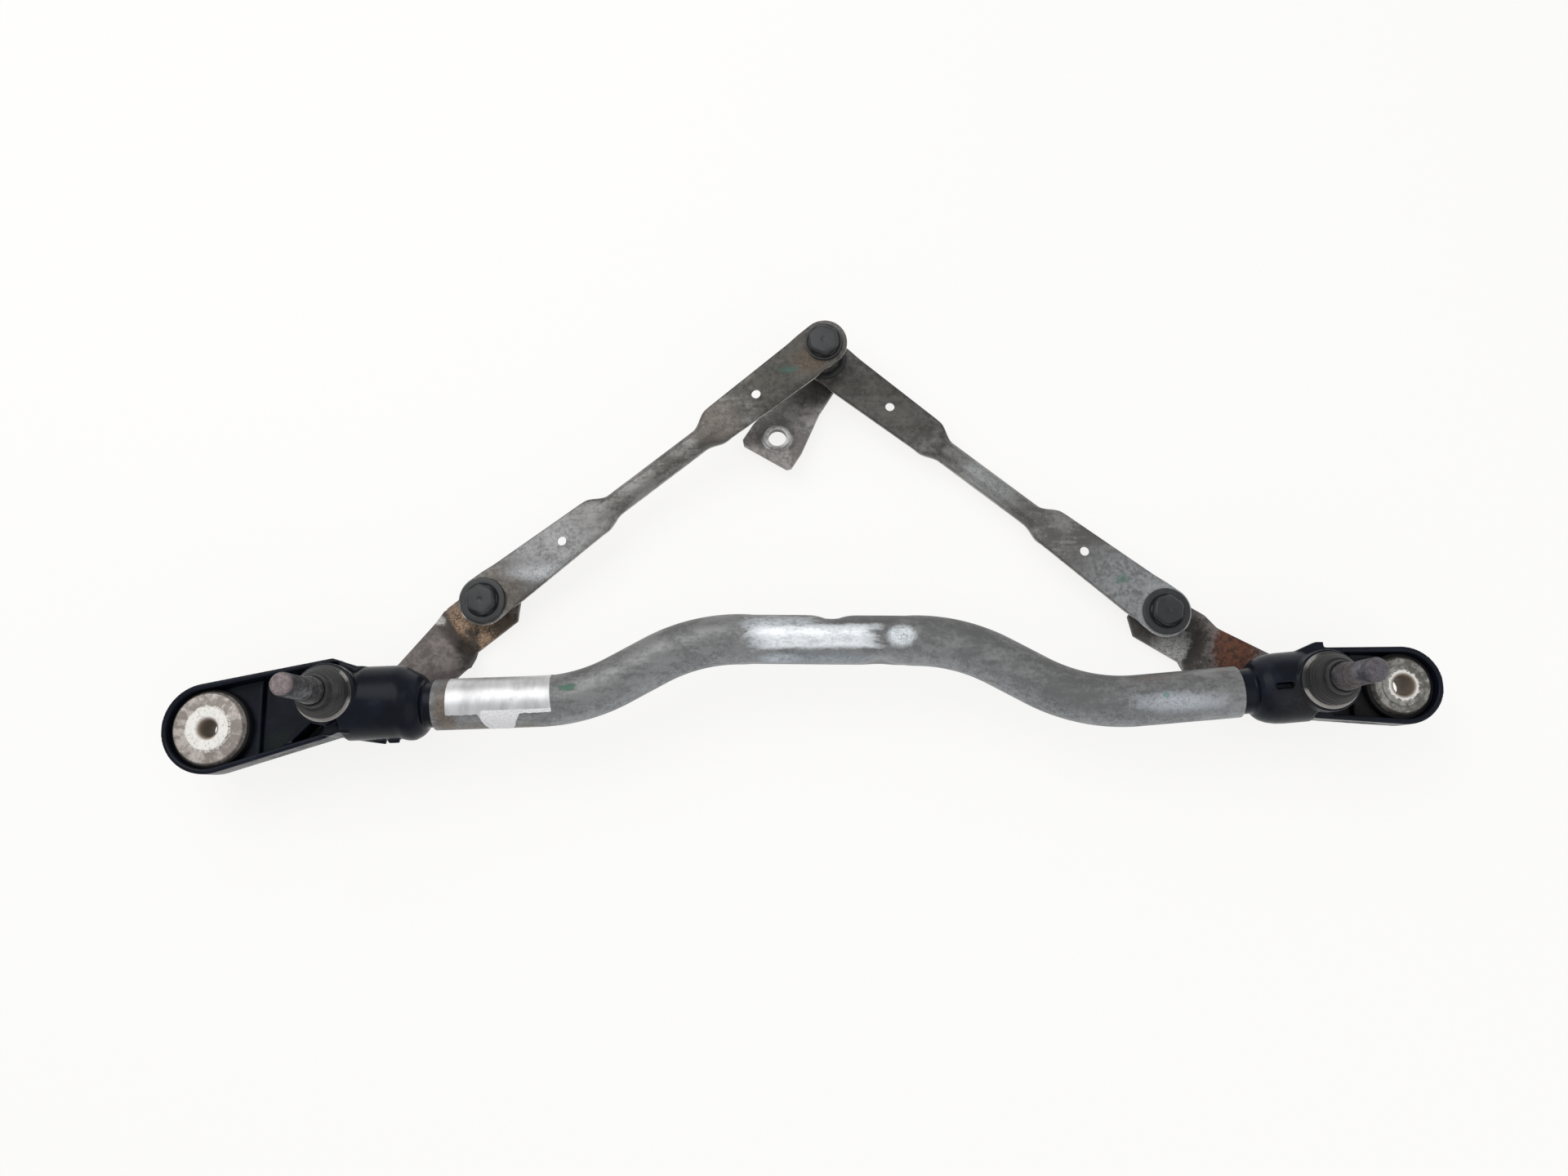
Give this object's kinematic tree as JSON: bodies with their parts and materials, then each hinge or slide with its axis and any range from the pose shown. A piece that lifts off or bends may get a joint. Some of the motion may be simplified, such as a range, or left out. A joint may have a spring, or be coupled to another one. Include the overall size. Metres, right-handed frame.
{
  "type": "wiper linkage",
  "caption": "Tandem windscreen wiper linkage: a bent tube frame with a moulded spindle housing at each end, and joggled levers, pressed links and a motor crank joined by ball sockets.",
  "frame": {"origin": "left fixing bore, on its axis at the height of the frame tube's axis", "axes": "+X towards the right spindle, +Y towards the links, +Z along the spindles to their threads"},
  "size_m": [0.6731, 0.249, 0.1108],
  "materials": {
    "tube_zinc": "dull zinc plating, brighter where the motor plate was clamped",
    "label_foil": "thin metal foil, blank",
    "housing_plastic": "bluish black glass-filled moulding",
    "grommet_rubber": "dark rubber",
    "bush_zinc": "grey zinc plating, seat ring rubbed bright",
    "bearing_bronze": "sintered bronze",
    "washer_plastic": "pale nylon",
    "cap_rubber": "dull black rubber",
    "spindle_steel": "dark steel, brown corrosion on the thread",
    "clip_steel": "spring steel",
    "lever_steel": "old plated steel plate with light rust",
    "stud_steel": "turned steel",
    "link_steel": "dark phosphated sheet steel",
    "socket_plastic": "charcoal moulding",
    "crank_steel": "grey plated steel plate"
  },
  "bodies": {
    "frame": {"frame_tube": "tube_zinc", "foil_label": "label_foil", "left_housing": "housing_plastic", "left_grommet": "grommet_rubber", "left_bush": "bush_zinc", "left_lower_bearing": "bearing_bronze", "left_upper_bearing": "bearing_bronze", "left_thrust_washer": "washer_plastic", "left_top_washer": "washer_plastic", "left_seal_cap": "cap_rubber", "right_housing": "housing_plastic", "right_grommet": "grommet_rubber", "right_bush": "bush_zinc", "right_lower_bearing": "bearing_bronze", "right_upper_bearing": "bearing_bronze", "right_thrust_washer": "washer_plastic", "right_top_washer": "washer_plastic", "right_seal_cap": "cap_rubber"},
    "left_lever": {"left_spindle": "spindle_steel", "left_circlip": "clip_steel", "left_lever": "lever_steel", "left_ball_stud": "stud_steel"},
    "right_lever": {"right_spindle": "spindle_steel", "right_circlip": "clip_steel", "right_lever": "lever_steel", "right_ball_stud": "stud_steel"},
    "left_link": {"left_link": "link_steel", "left_link_lever_socket": "socket_plastic", "left_link_crank_socket": "socket_plastic"},
    "right_link": {"right_link": "link_steel", "right_link_lever_socket": "socket_plastic", "right_link_crank_ring": "socket_plastic"},
    "crank": {"crank_arm": "crank_steel", "crank_ball_stud": "stud_steel"}
  },
  "joints": [
    {"name": "left_lever_turn", "type": "hinge", "parent": "frame", "child": "left_lever", "pos_m": [0.0676, 0.0162, 0], "axis": [0, 0, 1], "range_deg": [-24, 4]},
    {"name": "right_lever_turn", "type": "hinge", "parent": "frame", "child": "right_lever", "pos_m": [0.58501, 0.01586, 0], "axis": [0, 0, 1], "range_deg": [-22, 4]},
    {"name": "left_link_ball", "type": "hinge", "parent": "left_lever", "child": "left_link", "pos_m": [0.13773, 0.07099, -0.0232], "axis": [0, 0, 1], "range_deg": [-6, 32]},
    {"name": "right_link_ball", "type": "hinge", "parent": "right_lever", "child": "right_link", "pos_m": [0.51632, 0.05879, -0.0232], "axis": [0, 0, 1], "range_deg": [-6, 32]},
    {"name": "crank_turn", "type": "hinge", "parent": "left_link", "child": "crank", "pos_m": [0.33047, 0.20985, -0.0232], "axis": [0, 0.1219, 0.9925], "continuous": true}
  ],
  "couplings": [
    {"joint": "right_lever_turn", "follows": "left_lever_turn", "ratio": 0.9},
    {"joint": "left_link_ball", "follows": "left_lever_turn", "ratio": -1.3139},
    {"joint": "right_link_ball", "follows": "left_lever_turn", "ratio": -1.2809}
  ]
}
